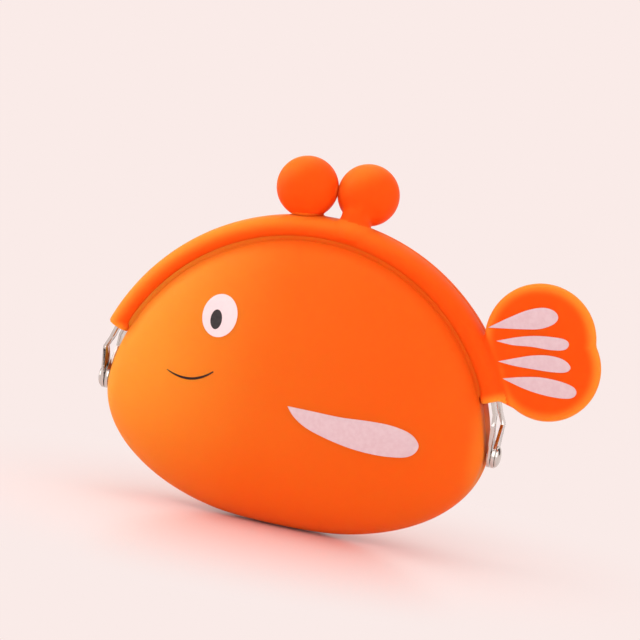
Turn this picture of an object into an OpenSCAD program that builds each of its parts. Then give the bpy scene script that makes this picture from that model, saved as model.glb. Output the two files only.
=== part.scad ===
// Squeeze coin purse: a moulded silicone fish on a two-part kiss-lock frame.
// Millimetres. X runs along the hinge line towards the tail, the front faces -Y, +Z is up.
// The origin is the middle of the flat base.

/* [Pouch] */
// Greatest thickness of the pouch, front to back
pouch_depth = 40; // [36:0.5:44]
// Height of the hinge line above the base
hinge_h = 28.5; // [26:0.5:32]
// How much of the rounded belly is pressed flat at the base
base_flat = 1.5; // [1:0.1:2.5]
// Silicone wall
wall = 1.8; // [1.4:0.1:2.2]
// Silicone at the base
floor_t = 2.2; // [1.6:0.1:3]
// Half of the pouch's thickness in the groove under the rim
groove_half = 5.6; // [5.2:0.1:6]
// Roundness of the belly's outline, 2 is an ellipse
outline_power = 2.15; // [2:0.05:2.4]
// Fullness of the belly towards its edge
dome_power = 2.2; // [2:0.1:2.6]
// Rise of the belly's shoulder, smaller is steeper
shoulder_power = 0.55; // [0.5:0.01:0.6]
// Reach of the moving shoulder's seam beyond the belly, from the hinge line
seam_reach = 3; // [2.6:0.1:3.6]

/* [Rim] */
// Radius of the steel arch that the rim is moulded round
frame_r = 53.6; // [53.4:0.1:54]
// Centre of the arch below the hinge line
arch_drop = 5; // [4.6:0.1:5.4]
// Silicone outside the arch radius, at the crest of the rim
rim_over = 3.2; // [3:0.1:3.6]
// Silicone inside the arch radius
rim_under = 3; // [2.6:0.1:3.2]
// Thickness of one rim, from the parting plane to its front
rim_depth = 7.4; // [7.2:0.1:8]
// Height of the sleeve ends above the hinge line
sleeve_h = 13.9; // [13.6:0.1:15]

/* [Frame] */
// Thickness of the steel strip
strip_t = 0.8; // [0.6:0.05:0.9]
// Width of the steel strip
strip_w = 3.2; // [2.8:0.1:3.4]
// Middle of each strip from the parting plane
strip_y = 4; // [3.8:0.1:4.2]
// Radius of the round tab at each hinge
tab_r = 3.1; // [2.8:0.1:3.4]
// Height where a leg leaves the arch's curve for its tab, above the hinge line
leg_h = 11; // [10:0.1:12]
// Height over which a leg is set over to its tab
joggle_h = 3; // [2:0.1:4]
// Gap between the pouch's side and the inner tabs
tab_clear = 0.75; // [0.7:0.05:1]

/* [Hinge rivets] */
// Radius of a rivet's shank
pin_r = 1.2; // [1:0.05:1.5]
// Radius of a rivet's domed head
dome_r = 2.8; // [2.5:0.1:3]
// Height of a rivet's domed head
dome_h = 1.2; // [0.9:0.1:1.4]
// Radius of a rivet's flat inner head
foot_r = 2; // [1.8:0.1:2.3]
// Thickness of a rivet's flat inner head
foot_t = 0.45; // [0.3:0.05:0.5]

/* [Clasp] */
// Radius of a clasp ball, silicone included
ball_r = 7.85; // [7.4:0.05:8]
// Distance of each ball from the middle
ball_x = 8.2; // [8.2:0.05:8.6]
// Lean of each ball over the parting plane
ball_lean = 1.5; // [1:0.1:2]
// Radius of the steel bead inside a ball
bead_r = 4.5; // [4:0.1:5.5]
// Radius of the bead's stem
stem_r = 1.2; // [1:0.05:1.4]
// Distance of each stem's root from the middle
stem_x = 6.5; // [6:0.1:7]
// Radius of the silicone neck under a ball
neck_r = 3; // [2.7:0.1:3.2]

/* [Tail] */
// Radius of the upper lobe
lobe_up_r = 14; // [13:0.1:15]
// Middle of the upper lobe beyond the rim's crest
lobe_up_out = 12.5; // [12:0.1:13]
// Direction of the upper lobe from the arch's centre
lobe_up_a = 31.7; // [31:0.1:32.5]
// Radius of the lower lobe
lobe_low_r = 13.4; // [12.8:0.1:14]
// Middle of the lower lobe beyond the rim's crest
lobe_low_out = 12.3; // [12:0.1:13]
// Direction of the lower lobe from the arch's centre
lobe_low_a = 25.6; // [25:0.1:26.5]
// Thickness of the tail
tail_t = 4.4; // [4:0.1:5]
// Rounding of the tail's edge
tail_round = 1.6; // [1:0.1:1.8]

/* [Marks] */
// Thickness of the coloured inlays
mark_t = 0.3; // [0.2:0.05:0.4]
// Width of the white of the eye
eye_w = 9.4; // [8.5:0.1:10]
// Height of the white of the eye
eye_h = 10.8; // [10:0.1:11.5]
// Width of the pupil
pupil_w = 3.2; // [2.8:0.1:3.6]
// Height of the pupil
pupil_h = 4.9; // [4.4:0.1:5.4]
// Length of the smile, end to end
smile_l = 13; // [12:0.1:14]
// Sag of the smile
smile_sag = 1.9; // [1.4:0.1:2.4]
// Greatest width of the smile line
smile_t = 0.55; // [0.4:0.05:0.8]
// Length of the side fin
fin_l = 34.4; // [32:0.1:36]
// Width of the side fin
fin_w = 8.2; // [7:0.1:9]
// Lengths of the tail stripes, from the top
stripe_l = [17.9, 18, 18.2, 18.9]; // [16:0.1:20]
// Widths of the tail stripes, from the top
stripe_w = [5.3, 3.5, 3.8, 4.6]; // [3:0.1:6]
// Distance of the stripes' tips beyond the rim's crest, from the top
stripe_out = [2.3, 2.5, 0.9, 0.9]; // [0.8:0.1:3]

/* [Fits] */
// Gap at the seam between the moving shoulders and the bowl
seam_gap = 0.3; // [0.3:0.05:0.4]
// Gap between the two closed halves
parting_gap = 0.3; // [0.3:0.05:0.4]
// Gap between the tabs of one hinge
tab_gap = 0.3; // [0.25:0.05:0.4]
// Radial clearance of a rivet in its tabs
pin_fit = 0.05; // [0.02:0.01:0.08]
// Clearance where silicone and steel pieces of one half seat on each other
seat_fit = 0.05; // [0.03:0.01:0.1]
// Gap between the shoulder's top edge and the rim rolled over it
groove_gap = 0.2; // [0.15:0.05:0.4]
// Gap between the side gussets and the sleeve ends that pass over them
gusset_gap = 0.4; // [0.35:0.05:0.6]
// Gap between a ball and the other half's rim as it passes over
ball_gap = 0.25; // [0.2:0.05:0.4]

/* [Hidden] */

orange = "#fb5a12";
steel = "#c9c8c8";
pink_white = "#f0cdd2";
eye_white_colour = "#fbe9ec";
ink = "#3a3436";

// Smoothness of the true rounds, and of the moulded skins
round_fn = 96;
skin_fn = 120;
seam_fn = 64;
seam_steps = 15;
// Spokes and rings of the skin's outer and inner faces
outer_grid = [88, 13];
inner_grid = [64, 10];
// The seam keeps the gussets' radius this far inside the sleeves' ends, and leaves it over this length
gusset_lap = 1;
gusset_ramp = 2;

belly_drop = hinge_h + base_flat;
belly_half = pouch_depth / 2;
rim_out = frame_r + rim_over;
rim_in = frame_r - rim_under;
groove_r = rim_in - groove_gap;
// The pouch's outline meets the rim's circle at the hinge line
pouch_w = 2 * sqrt(pow(groove_r, 2) - pow(arch_drop, 2));
tab_x = pouch_w / 2 + tab_clear;
outer_tab_x = tab_x + strip_t + tab_gap;
sleeve_a = asin((sleeve_h + arch_drop) / frame_r);
// The side gussets end inside the circle that the sleeves' lowest corners swing on
gusset_r = rim_in * sin(sleeve_a) - arch_drop - gusset_gap + seam_gap / 2;
// They keep that radius from here outwards
gusset_x = rim_in * cos(sleeve_a) - gusset_lap;
strip_a = asin((leg_h + arch_drop) / frame_r);
tab_top_h = leg_h - joggle_h;
// Height of the balls, set so that each clears the other half's rim as it passes over it
ball_reach = sqrt(pow(rim_out + ball_r + ball_gap, 2) - pow(ball_x, 2)) - arch_drop;
ball_h = sqrt(pow(ball_reach, 2) - pow(ball_lean, 2));
stem_root_h = sqrt(pow(frame_r + strip_t / 2, 2) - pow(stem_x, 2)) - arch_drop;
// Moving skins end this far from the parting plane, so the mouth between them stays open
mouth_half = groove_half - wall;
// Angles of the outline, from the hinge line, between which the side edge sharpens to the belly
edge_low_a = -30;
edge_high_a = 12;
least_edge = 0.4;
// The bowl may pass the seam's radius only below this height, where no shoulder swings
bowl_free_h = -6;

// Point of the upright plane at a radius and an angle about the arch's centre
function about_arch(r, a) = [r * cos(a), r * sin(a) - arch_drop];

function smooth(a, b, x) = let (t = min(1, max(0, (x - a) / (b - a)))) t * t * (3 - 2 * t);

// Distance of the outline from the hinge line's middle, seen from the front, at an angle,
// for the skin that lies in_by inside the outer one
function outline_r(angle, in_by) =
  let (c = cos(angle), s = sin(angle))
  s >= 0
    ? sqrt(pow(groove_r - in_by, 2) - pow(arch_drop * c, 2)) - arch_drop * s
    : 1 / pow(pow(abs(c) / side_half(in_by), outline_power)
      + pow(abs(s) / (belly_drop - in_by), outline_power), 1 / outline_power);

function side_half(in_by) = sqrt(pow(groove_r - in_by, 2) - pow(arch_drop, 2));

// Half the pouch's thickness along the outline
function edge_half(angle, in_by) =
  max(least_edge / 2, least_edge + (groove_half - least_edge) * smooth(edge_low_a, edge_high_a, angle) - in_by);

// Half the pouch's thickness at a share of the way from the middle to the outline
function skin_half(share, angle, in_by) =
  let (e = edge_half(angle, in_by))
  e + (belly_half - in_by - e) * pow(max(0, 1 - pow(share, dome_power)), shoulder_power);

// Half the pouch's thickness at a point seen from the front
function depth_at(x, h, in_by = 0) =
  let (angle = atan2(h, abs(x)), share = min(1, norm([x, h]) / outline_r(angle, in_by)))
  skin_half(share, angle, in_by);

// Folds an angle round the outline onto the right-hand side, from straight down to straight up
function folded(angle) = asin(sin(angle));

// A closed pillow: the pouch's skin, in_by inside the outer one, on a grid of spokes and rings
module pillow(in_by, grid) {
  spokes = grid[0];
  rings = grid[1];
  shares = [for (i = [1:rings]) sin(90 * i / rings)];
  rows = concat([for (s = shares) [s, -1]], [for (i = [rings - 1:-1:0]) [shares[i], 1]]);
  n = len(rows);
  points = concat(
    [[0, in_by - belly_half, 0]],
    [for (row = rows) for (j = [0:spokes - 1])
      let (a = 360 * j / spokes, f = folded(a), r = outline_r(f, in_by) * row[0])
      [r * cos(a), row[1] * skin_half(row[0], f, in_by), r * sin(a)]],
    [[0, belly_half - in_by, 0]]
  );
  function at(i, j) = 1 + i * spokes + j % spokes;
  faces = concat(
    [for (j = [0:spokes - 1]) [0, at(0, j + 1), at(0, j)]],
    [for (i = [0:n - 2]) for (j = [0:spokes - 1]) [at(i, j), at(i, j + 1), at(i + 1, j + 1)]],
    [for (i = [0:n - 2]) for (j = [0:spokes - 1]) [at(i, j), at(i + 1, j + 1), at(i + 1, j)]],
    [for (j = [0:spokes - 1]) [1 + n * spokes, at(n - 1, j), at(n - 1, j + 1)]]
  );
  polyhedron(points = points, faces = faces);
}

// The hollow silicone skin, closed all round
module skin() {
  difference() {
    pillow(0, outer_grid);
    intersection() {
      pillow(wall, inner_grid);
      translate([-pouch_w, -pouch_depth, floor_t - hinge_h]) cube([2 * pouch_w, 2 * pouch_depth, 3 * pouch_w]);
    }
  }
}

// Radius from the hinge line of the seam between bowl and shoulders
function seam_r(x) = max(gusset_r, depth_at(x, 0) + seam_reach);

// The solid inside the seam, turned about the hinge line
module inside_seam(offset_r) {
  reach = pouch_w / 2 + 2;
  inner = gusset_x - gusset_ramp;
  side = gusset_r + offset_r;
  xs = [for (i = [0:seam_steps]) inner * (2 * i / seam_steps - 1)];
  profile = concat(
    [[0, -reach], [side, -reach], [side, -gusset_x]],
    [for (x = xs) [seam_r(x) + offset_r, x]],
    [[side, gusset_x], [side, reach], [0, reach]]
  );
  rotate([0, 90, 0]) rotate_extrude($fn = seam_fn) polygon(profile);
}

// Hands one smooth moulded skin over whole
module moulded() {
  resize([0, 0, 0]) children();
}

module at_hinge_height() {
  translate([0, 0, hinge_h]) children();
}

// Turns a front piece into the like piece of the back half
module for_back() {
  rotate([0, 0, 180]) children();
}

// Lower silicone pouch with its two side gussets
module pouch_bowl() {
  color(orange) at_hinge_height() moulded() intersection() {
    skin();
    translate([-pouch_w, -pouch_depth, -hinge_h]) cube([2 * pouch_w, 2 * pouch_depth, hinge_h + gusset_r + pouch_depth]);
    union() {
      inside_seam(-seam_gap / 2);
      translate([-pouch_w, -pouch_depth, -pouch_w]) cube([2 * pouch_w, 2 * pouch_depth, pouch_w + bowl_free_h]);
    }
  }
}

// Upper silicone panel of one half, which swings with its rim
module shoulder() {
  at_hinge_height() moulded() difference() {
    intersection() {
      skin();
      translate([-pouch_w, -pouch_depth, 0]) cube([2 * pouch_w, pouch_depth - mouth_half, pouch_w]);
    }
    inside_seam(seam_gap / 2);
  }
}

// Turns a section of radius and distance from the parting plane about the arch's centre
module arch(start_a, end_a) {
  at_hinge_height() translate([0, 0, -arch_drop]) rotate([90, 0, 0]) rotate([0, 0, start_a])
    rotate_extrude(angle = end_a - start_a, $fn = skin_fn) children();
}

// Section of one rim: full at the crest, flat at the parting plane, rolled into the groove
module rim_section(grow = 0) {
  near = parting_gap / 2 - grow;
  far = rim_depth + grow;
  out = rim_out + grow;
  in = rim_in - grow;
  mid = rim_in + 2.4;
  crest = [for (i = [0:9]) let (a = 10 * i)
    [mid + (out - mid) * pow(cos(a), 0.75), near + (far - near) * pow(sin(a), 0.75)]];
  roll = [for (i = [1:5]) let (a = 18 * i)
    [mid - (mid - in) * sin(a), far - 2.4 * (1 - cos(a))]];
  polygon(concat([[in, near]], crest, [[mid, far]], roll));
}

// Silicone sleeve of one half, moulded round its steel strip
module rim() {
  difference() {
    arch(sleeve_a, 180 - sleeve_a) difference() {
      rim_section();
      translate([frame_r, strip_y])
        square([strip_t + 2 * seat_fit, strip_w + 2 * seat_fit], center = true);
    }
    stem(seat_fit);
  }
}

// The rim's outer form, kept clear by pieces that grow from it
module rim_form() {
  arch(0, 180) rim_section(seat_fit);
}

// Point just inside the tab's round edge, where a line from p would touch it, on the side given
function touch(p, side) =
  let (a = atan2(p[1], p[0]) + side * acos(tab_r / norm(p)))
  0.985 * tab_r * [cos(a), sin(a)];

// Flattened end of a leg from x outwards, with the rivet's hole at the hinge line
module tab(x) {
  top_out = [-strip_y - strip_w / 2, tab_top_h];
  top_in = [-strip_y + strip_w / 2, tab_top_h];
  translate([x, 0, 0]) rotate([90, 0, 90]) difference() {
    linear_extrude(strip_t) union() {
      circle(r = tab_r, $fn = round_fn);
      polygon([top_out, top_in, touch(top_in, -1), [0, 0], touch(top_out, 1)]);
    }
    translate([0, 0, -1]) cylinder(r = pin_r + pin_fit, h = strip_t + 2, $fn = round_fn);
  }
}

// Set-over of a right leg from the arch's end to a tab whose inner face is at x;
// it is drawn in by a hair, so that it sinks cleanly into both
module joggle(x) {
  hair = 0.02;
  lean = (strip_t / 2 - hair) * [cos(strip_a), sin(strip_a)];
  up = 0.4 * [-sin(strip_a), cos(strip_a)];
  top = [frame_r * cos(strip_a), leg_h];
  near_x = x + hair;
  far_x = x + strip_t - hair;
  translate([0, -strip_y + strip_w / 2 - hair, 0]) rotate([90, 0, 0])
    linear_extrude(strip_w - 2 * hair) polygon([
      top - lean + up, top - lean, [near_x, tab_top_h + 0.3], [near_x, tab_top_h - 0.5],
      [far_x, tab_top_h - 0.5], [far_x, tab_top_h + 0.3], top + lean, top + lean + up
    ]);
}

// Sprung steel arch of one half: its right tab lies inside, its left tab outside
module frame() {
  union() {
    arch(strip_a, 180 - strip_a) translate([frame_r, strip_y]) square([strip_t, strip_w], center = true);
    at_hinge_height() {
      tab(tab_x);
      joggle(tab_x);
      mirror([1, 0, 0]) {
        tab(outer_tab_x);
        joggle(outer_tab_x);
      }
    }
  }
}

// Stem of a clasp bead, from the strip to the bead's middle, with room round it if asked
module stem(room = 0) {
  from = [stem_x, -strip_y, stem_root_h];
  to = [ball_x, ball_lean, ball_h];
  way = to - from;
  at_hinge_height() translate(from)
    rotate([0, acos(way[2] / norm(way)), atan2(way[1], way[0])])
      translate([0, 0, -room]) cylinder(r = stem_r + room, h = norm(way) + room, $fn = round_fn);
}

// Steel bead with its stem, standing on the strip
module clasp_bead() {
  difference() {
    union() {
      stem();
      at_hinge_height() translate([ball_x, ball_lean, ball_h]) sphere(r = bead_r, $fn = round_fn);
    }
    arch(60, 120) translate([frame_r, strip_y])
      square([strip_t + 2 * seat_fit, strip_w + 2 * seat_fit], center = true);
  }
}

// Silicone ball pulled over the bead, on a short neck that grows from the rim
module ball_cover() {
  neck_foot = stem_root_h - 1;
  difference() {
    at_hinge_height() union() {
      translate([ball_x, ball_lean, ball_h]) sphere(r = ball_r, $fn = round_fn);
      translate([stem_x, -strip_y + 0.4, neck_foot])
        cylinder(r = neck_r, h = ball_h - ball_r / 2 - neck_foot, $fn = round_fn);
    }
    rim_form();
    at_hinge_height() translate([ball_x, ball_lean, ball_h]) sphere(r = bead_r + seat_fit, $fn = round_fn);
    stem(seat_fit);
  }
}

// One rivet, along the hinge line, head outwards
module rivet() {
  foot_top = tab_x - seat_fit;
  head_base = outer_tab_x + strip_t + seat_fit;
  dome = [for (i = [0:8]) let (a = 11.25 * i) [dome_r * cos(a), head_base + dome_h * sin(a)]];
  at_hinge_height() rotate([0, 90, 0]) rotate_extrude($fn = round_fn) polygon(concat(
    [[0, foot_top - foot_t], [foot_r, foot_top - foot_t], [foot_r, foot_top], [pin_r, foot_top], [pin_r, head_base]],
    dome
  ));
}

module hinge_rivets() {
  color(steel) {
    rivet();
    for_back() rivet();
  }
}

lobe_up = about_arch(rim_out + lobe_up_out, lobe_up_a);
lobe_low = about_arch(rim_out + lobe_low_out, lobe_low_a);

// A disc with a rounded edge, standing upright in the middle of the front rim
module lobe(middle, r) {
  flat = tail_t / 2 - tail_round;
  edge = [for (i = [0:6]) let (a = 15 * i) [r - tail_round + tail_round * cos(a), flat + tail_round * sin(a)]];
  back = [for (i = [6:-1:0]) [edge[i][0], -edge[i][1]]];
  translate([middle[0], -strip_y, middle[1]]) rotate([90, 0, 0]) rotate_extrude($fn = 72)
    polygon(concat([[0, -tail_t / 2]], back, edge, [[0, tail_t / 2]]));
}

// Two-lobed tail that grows from the outer side of the front rim
module tail_fin() {
  root = [
    about_arch(frame_r, lobe_up_a + 7), about_arch(frame_r, sleeve_a + 0.8),
    lobe_low - [lobe_low_r * 0.37, lobe_low_r * 0.885], lobe_low + [0, 0.7], lobe_up - [0, 0.6]
  ];
  color(orange) moulded() difference() {
    at_hinge_height() union() {
      lobe(lobe_up, lobe_up_r);
      lobe(lobe_low, lobe_low_r);
      translate([0, -strip_y, 0]) rotate([90, 0, 0])
        linear_extrude(tail_t - 2 * seat_fit, center = true) polygon(root);
    }
    at_hinge_height() translate([0, 0, -arch_drop]) rotate([90, 0, 0])
      cylinder(r = rim_in + rim_under, h = 2 * tail_t + 2 * strip_y, $fn = skin_fn, center = true);
    rim_form();
  }
}

// Teardrop from its tip at the origin to its round end, along +X
function teardrop(l, w, n = 24) = [for (i = [0:n - 1]) let (t = 360 * i / n)
  [l / 2 * (1 - cos(t)), -w / 2 * sin(t) * pow(abs(sin(t / 2)), 1.1) * 1.28]];

// Slant of each stripe from the top, and its tip's direction from the arch's centre
stripe_slant = [18.5, 8.5, 6.5, -1];
stripe_a = [39, 35, 30.1, 25.6];

module tail_stripe(i) {
  tip = about_arch(rim_out + stripe_out[i], stripe_a[i]);
  color(pink_white) at_hinge_height()
    translate([tip[0], -strip_y - tail_t / 2, tip[1]]) rotate([90, 0, 0]) rotate([0, 0, stripe_slant[i]])
      linear_extrude(mark_t) polygon(teardrop(stripe_l[i], stripe_w[i]));
}

// An inlay that follows the belly: an outline seen from the front, filled in rings
module inlay(outline, middle, lift) {
  rings = 4;
  n = len(outline);
  sheet = [for (k = [1:rings]) for (p = outline) middle + (p - middle) * k / rings];
  function on(p, up) = [p[0], -depth_at(p[0], p[1]) - up, p[1]];
  near = concat([on(middle, lift)], [for (p = sheet) on(p, lift)]);
  far = concat([on(middle, lift + mark_t)], [for (p = sheet) on(p, lift + mark_t)]);
  m = len(near);
  function id(k, j) = 1 + k * n + j % n;
  faces = concat(
    [for (j = [0:n - 1]) [0, id(0, j + 1), id(0, j)]],
    [for (k = [0:rings - 2]) for (j = [0:n - 1]) each
      [[id(k, j), id(k, j + 1), id(k + 1, j + 1)], [id(k, j), id(k + 1, j + 1), id(k + 1, j)]]]
  );
  turned = [for (f = faces) [m + f[2], m + f[1], m + f[0]]];
  sides = [for (j = [0:n - 1]) each
    [[id(rings - 1, j), id(rings - 1, j + 1), m + id(rings - 1, j + 1)],
     [id(rings - 1, j), m + id(rings - 1, j + 1), m + id(rings - 1, j)]]];
  at_hinge_height() polyhedron(points = concat(near, far), faces = concat(faces, turned, sides));
}

function turned_by(p, a) = [p[0] * cos(a) - p[1] * sin(a), p[0] * sin(a) + p[1] * cos(a)];

function oval(w, h, tilt, middle, n = 36) = [for (i = [0:n - 1])
  middle + turned_by([w / 2 * cos(360 * i / n), h / 2 * sin(360 * i / n)], tilt)];

// Lift of the inlays off the skin they are set in
mark_lift = 0.08;
eye_middle = [-20.9, 22.4];
pupil_middle = [-21.6, 21.4];
smile_middle = [-25.6, 7.6];
fin_tip = [1.6, 4.1];

module eye_white() {
  color(eye_white_colour) inlay(oval(eye_w, eye_h, -8, eye_middle), eye_middle, mark_lift);
}

module eye_pupil() {
  color(ink) inlay(oval(pupil_w, pupil_h, -8, pupil_middle), pupil_middle, 2 * mark_lift + mark_t);
}

// Thin arc, widest in its middle
module smile_line() {
  n = 14;
  function along(u) = [smile_l * (u - 0.5), smile_sag * (pow(2 * u - 1, 2) - 1) + 1.6 * (u - 0.5)];
  function half(u) = 0.08 + smile_t / 2 * sin(180 * u);
  low = [for (i = [0:n]) along(i / n) - [0, half(i / n)]];
  high = [for (i = [n:-1:0]) along(i / n) + [0, half(i / n)]];
  points2 = [for (p = concat(low, high)) p + smile_middle];
  m = len(points2);
  near = [for (p = points2) [p[0], -depth_at(p[0], p[1]) - mark_lift, p[1]]];
  far = [for (p = near) p - [0, mark_t, 0]];
  faces = [for (i = [0:n - 1]) each [
    [i, i + 1, m - 2 - i], [i, m - 2 - i, m - 1 - i],
    [m + m - 2 - i, m + i + 1, m + i], [m + m - 1 - i, m + m - 2 - i, m + i]]];
  sides = [for (i = [0:m - 1]) each [[i, m + i, m + (i + 1) % m], [i, m + (i + 1) % m, (i + 1) % m]]];
  color(ink) at_hinge_height() polyhedron(points = concat(near, far), faces = concat(faces, sides));
}

module side_fin() {
  shape = [for (p = teardrop(fin_l, fin_w, 40)) fin_tip + turned_by(p, -5)];
  color(pink_white) inlay(shape, fin_tip + turned_by([fin_l * 0.6, 0], -5), mark_lift);
}

module front_shoulder() {
  color(orange) shoulder();
}

module front_rim() {
  color(orange) rim();
}

module front_frame() {
  color(steel) frame();
}

module front_clasp_bead() {
  color(steel) clasp_bead();
}

module front_ball_cover() {
  color(orange) ball_cover();
}

module tail_stripe_1() {
  tail_stripe(0);
}

module tail_stripe_2() {
  tail_stripe(1);
}

module tail_stripe_3() {
  tail_stripe(2);
}

module tail_stripe_4() {
  tail_stripe(3);
}

module back_shoulder() {
  color(orange) for_back() shoulder();
}

module back_rim() {
  color(orange) for_back() rim();
}

module back_frame() {
  color(steel) for_back() frame();
}

module back_clasp_bead() {
  color(steel) for_back() clasp_bead();
}

module back_ball_cover() {
  color(orange) for_back() ball_cover();
}

pouch_bowl();
hinge_rivets();
smile_line();
side_fin();
front_shoulder();
front_rim();
front_frame();
front_clasp_bead();
front_ball_cover();
eye_white();
eye_pupil();
tail_fin();
tail_stripe_1();
tail_stripe_2();
tail_stripe_3();
tail_stripe_4();
back_shoulder();
back_rim();
back_frame();
back_clasp_bead();
back_ball_cover();
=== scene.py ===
import math

import bmesh
import bpy
import numpy as np
from mathutils import Matrix, Vector


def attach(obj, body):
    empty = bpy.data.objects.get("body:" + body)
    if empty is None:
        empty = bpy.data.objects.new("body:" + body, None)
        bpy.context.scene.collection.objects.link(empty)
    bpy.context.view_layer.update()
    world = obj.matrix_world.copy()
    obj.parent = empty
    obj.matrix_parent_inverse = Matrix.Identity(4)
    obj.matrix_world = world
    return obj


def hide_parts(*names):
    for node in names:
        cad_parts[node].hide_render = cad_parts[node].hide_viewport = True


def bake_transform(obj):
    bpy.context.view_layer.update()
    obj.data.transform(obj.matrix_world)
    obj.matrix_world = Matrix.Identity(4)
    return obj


bl_info = {
    "name": "Silicone fish coin purse",
    "version": (1, 0, 0),
    "blender": (4, 5, 0),
    "location": "View3D > Sidebar > Purse",
    "description": "Builds a moulded silicone coin purse in the form of a fish on its kiss-lock frame",
    "category": "Object",
}

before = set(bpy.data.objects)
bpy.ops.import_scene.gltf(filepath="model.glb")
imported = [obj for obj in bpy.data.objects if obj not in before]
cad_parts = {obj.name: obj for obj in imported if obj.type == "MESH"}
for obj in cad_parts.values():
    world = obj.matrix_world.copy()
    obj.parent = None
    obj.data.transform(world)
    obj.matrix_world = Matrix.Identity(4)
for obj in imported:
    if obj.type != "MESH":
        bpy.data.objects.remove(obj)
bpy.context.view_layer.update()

MM = 0.001

# Sizes in millimetres. These are the CAD model's own, to 0.01 mm. Heights start at the hinge line, which is
# HINGE_H over the base
HINGE_H = 28.5
ARCH_DROP = 5.0
FRAME_R = 53.6
RIM_OUT = 56.8
RIM_IN = 50.6
RIM_DEPTH = 7.4
SLEEVE_H = 13.9
STRIP_Y = 4.0
STRIP_T = 0.8
TAB_X = 50.9
TAB_GAP = 0.3
GROOVE_R = 50.4
GROOVE_HALF = 5.6
LEAST_EDGE = 0.4
BELLY_HALF = 20.0
OUTLINE_POWER = 2.15
DOME_POWER = 2.2
SHOULDER_POWER = 0.55
BALL_X = 8.2
BALL_LEAN = 1.5
BALL_R = 7.85
BALL_GAP = 0.25
BALL_REACH = math.sqrt((RIM_OUT + BALL_R + BALL_GAP) ** 2 - BALL_X ** 2) - ARCH_DROP
BALL_H = math.sqrt(BALL_REACH ** 2 - BALL_LEAN ** 2)
STEM_X = 6.5
TAIL_T = 4.4

# The soft pieces' own sizes: the belly before its base is flattened, and the rims' half gap, inner roll and
# squared crest
BELLY_DROP = 29.1
PARTING = 0.05
RIM_ROLL = 2.4
CREST_POWER = 0.75

# The pouch's mesh and wall
SPOKES = 320
RINGS = 46
EDGE_ROWS = 6
FLOOR_WALL = 2.2
BASE_SOFTNESS = 0.45
RIM_TUCK = 1.4

# The channel under the rim: how far the dome is drawn in and raised there, where inside the outline its lip
# starts, how far the lip curves, its curve, rise and slope, and the rings that are smoothed
CHANNEL_IN = 0.7
CHANNEL_RISE = 0.35
LIP_START = 1.1
LIP_SPAN = 1.9
LIP_CURVE, LIP_RISE, LIP_SLOPE = 0.18, 0.65, 0.5
CHANNEL_PASSES = 14
CHANNEL_RINGS = range(RINGS - 18, RINGS - 3)

# Fillets of the rim mouldings, as passes of smoothing, and where the necks' wider ones are and end
SOFTEN_PASSES = 14
FILLET_PASSES = 70
FILLET_AT = (STEM_X + 0.3, 1.2 - STRIP_Y, BALL_H - 7.2)
FILLET_HALF = 1.5
FILLET_FADE = (3.6, 6.2)

# Ball covers: X, how much lower than the bead, and the neck's X and radius. Then what the smoothing takes
# off a ball, and the necks' Y and flared foot
BALLS = {"front": (7.75, 0.3, STEM_X, 3.5), "back": (7.7, 0.95, 7.3, 2.9)}
BALL_LOSS = 0.17
NECK_Y = -3.6
NECK_FOOT = 3.2
NECK_FLARE = 1.2

# The tail's lobes as middle, height and radius, its soft edge, and the web that joins them to the rim
LOBES = ((59.0, 31.7, 14.2), (62.3, 24.9, 13.4))
TAIL_ROUND = 2.1
WEB = ((46.2, 30.6), (50.3, 14.9), (57.3, 13.05), (62.3, 25.6), (59.0, 30.8), (49.5, 34.0))
WEB_SUNK = 0.25

# Marks seen from the front: ellipses as width, height, tilt and middle, a line's points and half widths, and
# outlines in which a third value marks a corner
EYE = (9.5, 10.9, 2, (-20.8, 22.8))
PUPIL = (3.2, 5.0, 5, (-21.5, 21.7))
SMILE_WAY = ((-32.0, 6.7), (-30.2, 6.05), (-28.1, 5.65), (-25.9, 5.6), (-24.0, 5.95), (-22.2, 6.65),
             (-20.6, 7.6), (-19.3, 8.7))
SMILE_END, SMILE_SWELL, SMILE_GROWTH = 0.07, 0.2, 0.08
FIN = ((1.5, 4.1, 0), (8.0, 4.05), (15.3, 3.95), (22.5, 4.35), (28.2, 4.25), (32.9, 3.1), (35.3, 0.8),
       (34.9, -1.4), (32.9, -2.9), (29.5, -3.55), (25.0, -3.75), (19.0, -3.3), (12.5, -2.0), (7.0, -0.3),
       (3.4, 1.9))
STRIPES = (
    ((45.7, 31.7, 0), (50.0, 35.0), (54.5, 38.0), (58.4, 39.45), (61.3, 39.1), (62.7, 37.5),
     (61.9, 35.6), (59.0, 33.8), (55.5, 33.0), (50.5, 32.3)),
    ((48.4, 28.8, 0), (53.0, 30.7), (57.5, 32.0), (62.0, 32.6), (65.4, 32.55), (66.6, 31.4),
     (65.7, 29.8), (62.4, 29.1), (57.5, 29.0), (52.5, 28.5)),
    ((49.7, 23.8, 0), (54.0, 25.6), (58.0, 27.1), (62.0, 27.9), (65.8, 27.6), (68.0, 26.0),
     (67.2, 24.4), (63.8, 23.7), (58.5, 23.5), (54.0, 23.45)),
    ((51.7, 19.8, 0), (56.0, 21.1), (61.0, 22.1), (66.0, 22.1), (69.6, 21.3), (70.7, 19.8),
     (69.6, 18.2), (66.0, 17.55), (61.0, 17.7), (56.5, 18.45)),
)
STRIPE_TILTS = (20, 8, 7, 0)
STRIPE_SLIM = 0.93
STRIPE_RISE = 0.6

# The steel's tumbled edge, and the rivet's shank and its collar
TUMBLED_EDGE = 0.16
SHANK_R = 1.2
COLLAR_R = 2.0

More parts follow.
